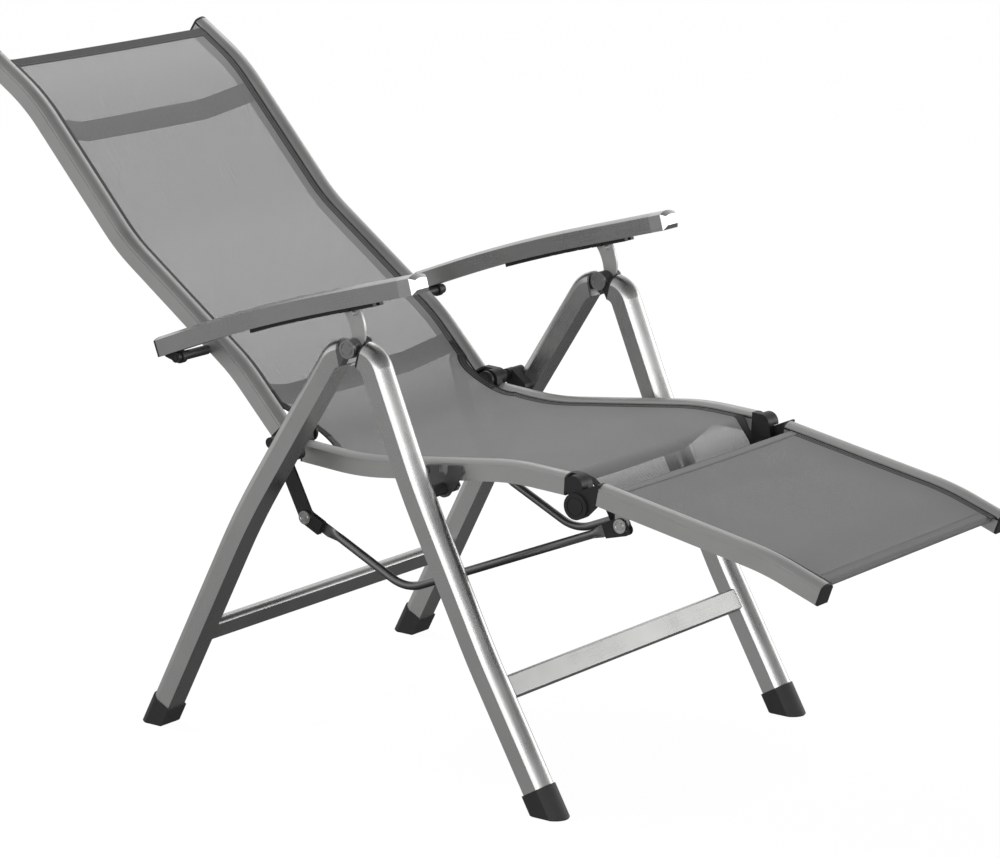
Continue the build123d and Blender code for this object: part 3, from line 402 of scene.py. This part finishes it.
def surfaceOf(sling):
    # x runs across and v along the run from its front end, both in metres
    line, reach = roundedRun(sling["corners"], sling["bends"])
    tangent = np.gradient(line, reach, axis=0)
    tangent = tangent / np.linalg.norm(tangent, axis=1)[:, None]
    normal = np.stack([-tangent[:, 1], tangent[:, 0]], 1)
    length = reach[-1]
    across = np.full(len(line), sling["halfWidth"])
    if "notch" in sling:
        # Cut-out at the hinge = half an ellipse on each edge
        notch = sling["notch"]
        away = np.clip(1 - ((line[:, 0] - notch["middle"]) / notch["half"]) ** 2, 0, None)
        across = across - notch["depth"] * np.sqrt(away)
    if "taper" in sling:
        # Flap narrower than the seat = a smooth step along the run
        taper = sling["taper"]
        share = np.clip((line[:, 0] - taper["start"]) / (taper["end"] - taper["start"]), 0, 1)
        across = across - taper["depth"] * share ** 2 * (3 - 2 * share)

    def halfWidth(v):
        return np.interp(v, reach, across)

    def point(x, v, lift=0.0):
        # point = run at v, lowered to its middle by a parabola, then lifted along the run's normal
        y, z = (np.interp(v, reach, line[:, axis]) for axis in (0, 1))
        ny, nz = (np.interp(v, reach, normal[:, axis]) for axis in (0, 1))
        flatEnd = sling.get("sagFrom", 0.0)
        middle = np.sin(pi * np.clip((v - flatEnd) / (length - flatEnd), 0, 1)) ** 0.5
        sag = sling["endSag"] + (sling["sag"] - sling["endSag"]) * middle
        drop = sag * (1 - (x / sling["halfWidth"]) ** 2) - lift
        return np.stack([x + 0 * v, y - ny * drop, z - nz * drop], -1)

    return point, halfWidth, length


def meshPiece(name, points, faces, uv, material):
    mesh = bpy.data.meshes.new(name)
    mesh.from_pydata(points.reshape(-1, 3).tolist(), [], faces)
    corners = np.concatenate([np.array(face) for face in faces])
    layer = mesh.uv_layers.new(name="clothMap")
    layer.data.foreach_set("uv", uv.reshape(-1, 2)[corners].astype(np.float32).ravel())
    mesh.polygons.foreach_set("use_smooth", np.ones(len(faces), bool))
    mesh.materials.append(material)
    piece = bpy.data.objects.new(name, mesh)
    bpy.context.scene.collection.objects.link(piece)
    return piece


def gridMesh(name, points, uv, material, closed=False):
    # A closed grid joins its last column to its first one and has a face over each end
    rows, columns = points.shape[:2]
    index = np.arange(rows * columns).reshape(rows, columns)
    nextIndex = np.roll(index, -1, axis=1) if closed else index[:, 1:]
    here = index if closed else index[:, :-1]
    faces = np.stack([here[:-1], nextIndex[:-1], nextIndex[1:], here[1:]], -1).reshape(-1, 4).tolist()
    if closed:
        faces = faces + [index[0, ::-1].tolist(), index[-1].tolist()]
    return meshPiece(name, points, faces, uv, material)


# Woven mesh cloth: round yarns over and under, and a hole wherever their height, from 0 to 1, is below the
# opening; the four places from flapEnd on are metres along the run
weave = {
    "pitch": 0.0017,
    "opening": 0.60,
    "seatOpening": 0.14,
    "flapEnd": 0.075,
    "seatStart": 0.10,
    "seatEnd": 0.50,
    "backStart": 0.60,
    "warpShare": 0.55,
    "yarnDepth": 0.0004,
    "yarnBump": 0.8,
    "wanderScale": 420.0,
    "patchScale": 14.0,
    "patchShare": (0.75, 1.0),
    "roughness": (0.55, 0.72),
    "specular": 0.2,
    "sheen": 0.03,
}
# The darkest and the lightest colour of each thread
threads = {
    "yarn": ((0.145, 0.145, 0.145), (0.222, 0.222, 0.220)),
    "hem": ((0.045, 0.045, 0.046), (0.085, 0.085, 0.086)),
    "stitch": ((0.16, 0.16, 0.16), (0.30, 0.30, 0.30)),
    # This near-black also colours the keder strips along the rails, where it is painted shade of the gap
    # between the cloth and the rail
    "bindingAndGapShade": ((0.012, 0.012, 0.012), (0.028, 0.028, 0.028)),
}


def openingAlong(tree, v):
    # The yarns lie closer where a body's weight would rest than on the back and the flap
    closer = ranged(tree, v, weave["flapEnd"], weave["seatStart"])
    wider = ranged(tree, v, weave["seatEnd"], weave["backStart"])
    seat = calc(tree, "SUBTRACT", closer, wider)
    change = weave["opening"] - weave["seatOpening"]
    return calc(tree, "SUBTRACT", weave["opening"], calc(tree, "MULTIPLY", seat, change))


def clothMaterial(name, thread, opening=None):
    material, tree, shader = newMaterial(name)
    uv = wire(tree, "ShaderNodeUVMap", uv_map="clothMap").outputs[0]
    split = wire(tree, "ShaderNodeSeparateXYZ", {0: uv})
    turns = pi / weave["pitch"]
    warp, weft = (
        calc(tree, "ABSOLUTE", calc(tree, "SINE", calc(tree, "MULTIPLY", split.outputs[axis], turns)))
        for axis in (0, 1)
    )
    cover = calc(tree, "MAXIMUM", warp, weft)
    raised = calc(tree, "MULTIPLY", warp, weave["warpShare"])
    height = calc(tree, "ADD", raised, calc(tree, "MULTIPLY", weft, 1 - weave["warpShare"]))
    wander = noise(tree, uv, weave["wanderScale"], rough=0.7)
    patches = noise(tree, uv, weave["patchScale"], detail=4.0, rough=0.6)
    share = spread(tree, patches, *weave["patchShare"])
    blendIn = calc(tree, "MULTIPLY", spread(tree, wander, 0.0, 1.0), share)
    dark, light = threads[thread]
    tree.links.new(tinted(tree, blendIn, dark, light), shader.inputs["Base Color"])
    tree.links.new(spread(tree, wander, *weave["roughness"]), shader.inputs["Roughness"])
    shader.inputs["Specular IOR Level"].default_value = weave["specular"]
    shader.inputs["Sheen Weight"].default_value = weave["sheen"]
    tree.links.new(bump(tree, height, weave["yarnDepth"], weave["yarnBump"]), shader.inputs["Normal"])
    if opening is not None:
        hole = openingAlong(tree, split.outputs[1]) if opening == "varied" else opening
        tree.links.new(calc(tree, "GREATER_THAN", cover, hole), shader.inputs["Alpha"])
    return material


clothFinish = clothMaterial("slingCloth", "yarn", "varied")
footFinish = clothMaterial("footSlingCloth", "yarn", weave["seatOpening"])
hemFinish = clothMaterial("slingHem", "hem")
foldFinish = clothMaterial("footFold", "yarn")
threadFinish = clothMaterial("slingThread", "stitch")
# Near-black bands: binding at the hinges and the flap, and painted shade of the rail gap on the keder
# strips
bindingAndGapShadeFinish = clothMaterial("slingBindingAndGapShade", "bindingAndGapShade")


def makeSling(sling, finish):
    point, halfWidth, length = surfaceOf(sling)
    v = np.linspace(0, length, sling["rows"])[:, None] * np.ones(sling["columns"])
    x = halfWidth(v) * np.linspace(-1, 1, sling["columns"])
    return gridMesh(sling["name"], point(x, v), np.stack([x, v], -1), finish)


# Bands sewn on the slings: a flat oval section carried along a path on the cloth, closed at both ends
bands = {
    "sectionPoints": 12,
    "sideWidth": 0.0125,
    "kederWidth": 0.0026,
    "kederOut": 0.0005,
    "kederLift": 0.0008,
    "bindingWidth": 0.0130,
    "bindingLift": 0.0004,
    "foldWidth": 0.0120,
    "topWidth": 0.0165,
    "crossLift": 0.0002,
    "thickness": 0.0016,
    "acrossPower": 0.35,
    "upPower": 0.6,
    "extraRows": 8,
}


def bandMesh(name, point, path, width, lift, material):
    # path is (x, v) on the cloth; the band lies to the left of it, by its width
    step = np.gradient(path, axis=0)
    step = step / np.linalg.norm(step, axis=1)[:, None]
    aside = np.stack([-step[:, 1], step[:, 0]], 1)
    turn = np.linspace(0, 2 * pi, bands["sectionPoints"], endpoint=False)
    # Section = a superellipse, so that the band is flat with rounded edges
    reach = np.sign(np.cos(turn)) * np.abs(np.cos(turn)) ** bands["acrossPower"]
    rise = np.sign(np.sin(turn)) * np.abs(np.sin(turn)) ** bands["upPower"]
    over = width * (0.5 + 0.5 * reach)
    up = 0.5 * bands["thickness"] * rise + lift
    flat = path[:, None, :] + aside[:, None, :] * over[None, :, None]
    points = point(flat[..., 0], flat[..., 1], up[None, :])
    uv = np.stack([over[None, :] + 0 * flat[..., 0], flat[..., 1]], -1)
    return gridMesh(name, points, uv, material, closed=True)


def joined(name, pieces):
    bpy.ops.object.select_all(action="DESELECT")
    for piece in pieces:
        piece.select_set(True)
    bpy.context.view_layer.objects.active = pieces[0]
    bpy.ops.object.join()
    pieces[0].name = name
    return pieces[0]


# span is the part of the run that a band or a row of stitches covers
def sideBands(sling, name, width, lift, material, span=(0.0, 1.0), inset=0.0):
    point, halfWidth, length = surfaceOf(sling)
    first, last = span
    rows = int(sling["rows"] * (last - first)) + bands["extraRows"]
    v = np.linspace(first * length, last * length, rows)
    pieces = []
    for side in (-1, 1):
        path = np.stack([side * (halfWidth(v) - inset), v], 1)
        path = path if side > 0 else path[::-1]
        pieces.append(bandMesh(f"{name}{side}", point, path, width, lift, material))
    return joined(name, pieces)


# Keder strips: a near-black band along each side edge at the rail's inner edge, whose colour is painted
# shade of the gap there
def kederAndGapShadeBands(sling, name):
    width, lift = bands["kederWidth"], bands["kederLift"]
    return sideBands(sling, name, width, lift, bindingAndGapShadeFinish, inset=-bands["kederOut"])


def crossBand(sling, name, at, width, material):
    # at is the edge's share of the run; at the far end the path runs back, so that the band lies inside it
    point, halfWidth, length = surfaceOf(sling)
    half = float(halfWidth(at * length))
    x = np.linspace(-half, half, sling["columns"])
    path = np.stack([x, np.full(len(x), at * length)], 1)
    if at > 0.5:
        path = path[::-1]
    return bandMesh(name, point, path, width, bands["crossLift"], material)


# Stitches: short rounded threads lying on a line of the cloth, all in one mesh
stitch = {
    "length": 0.0030,
    "pitch": 0.0042,
    "radius": 0.00035,
    "lift": 0.0010,
    "flatLift": 0.0006,
    "insets": (0.0045, 0.0105),
    "endGap": 0.003,
    "rings": 4,
    "sides": 5,
    "fullness": 0.8,
}


def stitchRow(name, sling, line, lift):
    # line is (x, v) at each stitch; a stitch = rings of a spindle along the line's own direction
    point = surfaceOf(sling)[0]
    ahead = np.gradient(line, axis=0)
    ahead = ahead / np.linalg.norm(ahead, axis=1)[:, None]
    side = np.stack([-ahead[:, 1], ahead[:, 0]], 1)
    along = np.linspace(-0.5, 0.5, stitch["rings"])
    turn = np.linspace(0, 2 * pi, stitch["sides"], endpoint=False)
    thick = stitch["radius"] * np.cos(along * pi * stitch["fullness"]) ** 0.5
    flat = line[:, None, :] + ahead[:, None, :] * along[None, :, None] * stitch["length"]
    out = (thick[:, None] * np.cos(turn)[None, :])[None, :, :, None]
    flat = flat[:, :, None, :] + side[:, None, None, :] * out
    up = lift + thick[:, None] * np.sin(turn)[None, :] + 0 * flat[..., 0]
    points = point(flat[..., 0], flat[..., 1], up)
    index = np.arange(up.size).reshape(up.shape)
    turned = np.roll(index, -1, axis=2)
    quads = np.stack([index[:, :-1], turned[:, :-1], turned[:, 1:], index[:, 1:]], -1)
    caps = index[:, 0, ::-1].tolist() + index[:, -1].tolist()
    return meshPiece(name, points, quads.reshape(-1, 4).tolist() + caps, flat, threadFinish)


def sideStitches(sling, name, span=(0.0, 1.0)):
    halfWidth, length = surfaceOf(sling)[1:]
    first, last = span
    gap = stitch["endGap"]
    v = np.arange(first * length + gap, last * length - gap, stitch["pitch"])
    pieces = []
    for side in (-1, 1):
        for inset in stitch["insets"]:
            line = np.stack([side * (halfWidth(v) - inset), v], 1)
            line = line if side > 0 else line[::-1]
            pieces.append(stitchRow(f"{name}{side}{len(pieces)}", sling, line, stitch["lift"]))
    return joined(name, pieces)


def crossStitches(sling, name, at, inset, lift):
    halfWidth = surfaceOf(sling)[1]
    half = float(halfWidth(at)) - inset
    x = np.arange(half, -half, -stitch["pitch"])
    return stitchRow(name, sling, np.stack([x, np.full(len(x), at)], 1), lift)


# One sling from the flap under the seat's front edge to the top of the back, cut in round the hinges
mainSling = {
    "name": "mainSling",
    "corners": [(-0.3439, 0.3705), (-0.30888, 0.4311), (-0.21690, 0.43515), (0.02946, 0.40359),
                (0.0950, 0.4076), (0.1810, 0.4460), (0.23835, 0.50624), (0.44037, 0.65138),
                (0.60325, 0.83104), (0.66930, 0.87395)],
    "bends": [0.045, 0.406, 0.394, 0.12, 0.12, 0.276, 0.264, 0.276],
    "halfWidth": 0.2085,
    "sag": 0.005,
    "endSag": 0.001,
    "notch": {"middle": 0.139, "half": 0.044, "depth": 0.018},
    "taper": {"start": -0.280, "end": -0.318, "depth": 0.025},
    "rows": 360,
    "columns": 48,
    "hingeSpan": (0.408, 0.492),
    "flapSpan": (0.0, 0.075),
    "stitchSpan": (0.08, 0.995),
    "topStitchDrop": 0.0140,
    "topStitchInset": 0.014,
}


def makeMainSling():
    sling = mainSling
    topStitch = surfaceOf(sling)[2] - sling["topStitchDrop"]
    width, lift = bands["bindingWidth"], bands["bindingLift"]
    cloth = makeSling(sling, clothFinish)
    hems = [
        sideBands(sling, "mainSideHems", bands["sideWidth"], 0.0, hemFinish),
        kederAndGapShadeBands(sling, "mainKederAndGapShade"),
        sideBands(sling, "hingeBindings", width, lift, bindingAndGapShadeFinish, sling["hingeSpan"]),
        sideBands(sling, "flapBindings", width, lift, bindingAndGapShadeFinish, sling["flapSpan"]),
        crossBand(sling, "backTopHem", 1.0, bands["topWidth"], hemFinish),
        crossBand(sling, "seatFlapHem", 0.0, bands["foldWidth"], hemFinish),
        sideStitches(sling, "mainStitches", sling["stitchSpan"]),
        crossStitches(sling, "topStitches", topStitch, sling["topStitchInset"], stitch["lift"]),
    ]
    return cloth, hems


mainCloth, mainHems = makeMainSling()
for piece in [mainCloth, *mainHems]:
    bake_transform(piece)
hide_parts("seat_sling", "back_sling")
print("main sling made")

# The footrest's sling wraps round the rod at its front and is stitched to itself. Its side hems run
# straight on past that loop, so they follow edges of their own
footSling = {
    "name": "footSling",
    "corners": [(-0.66450, 0.35860), (-0.66779, 0.34526), (-0.67720, 0.34575), (-0.67850, 0.35508),
                (-0.60700, 0.37900), (-0.36464, 0.42275)],
    "bends": [0.0057, 0.0057, 0.0057, 0.366],
    "halfWidth": 0.2035,
    "sag": 0.005,
    "endSag": 0.0002,
    "sagFrom": 0.044,
    "rows": 260,
    "columns": 48,
    "frontStitch": 0.0426,
    "rearStitchDrop": 0.0100,
    "crossStitchInset": 0.012,
}
footEdges = {
    "corners": [(-0.68260, 0.35372), (-0.60700, 0.37900), (-0.36464, 0.42275)],
    "bends": [0.366],
    "halfWidth": 0.2085,
    "sag": 0.005,
    "endSag": 0.0005,
    "rows": 110,
}


def makeFootSling():
    sling = footSling
    inset = sling["crossStitchInset"]
    rearStitch = surfaceOf(sling)[2] - sling["rearStitchDrop"]
    cloth = makeSling(sling, footFinish)
    hems = [
        sideBands(footEdges, "footSideHems", bands["sideWidth"], 0.0, hemFinish),
        kederAndGapShadeBands(footEdges, "footKederAndGapShade"),
        crossBand(sling, "footRearHem", 1.0, bands["foldWidth"], foldFinish),
        sideStitches(footEdges, "footStitches"),
        crossStitches(sling, "footFrontStitches", sling["frontStitch"], inset, stitch["flatLift"]),
        crossStitches(sling, "footRearStitches", rearStitch, inset, stitch["lift"]),
    ]
    return cloth, hems


footCloth, footHems = makeFootSling()
for piece in [footCloth, *footHems]:
    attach(piece, "footrest")
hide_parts("footrest_sling")
print("footrest sling made")
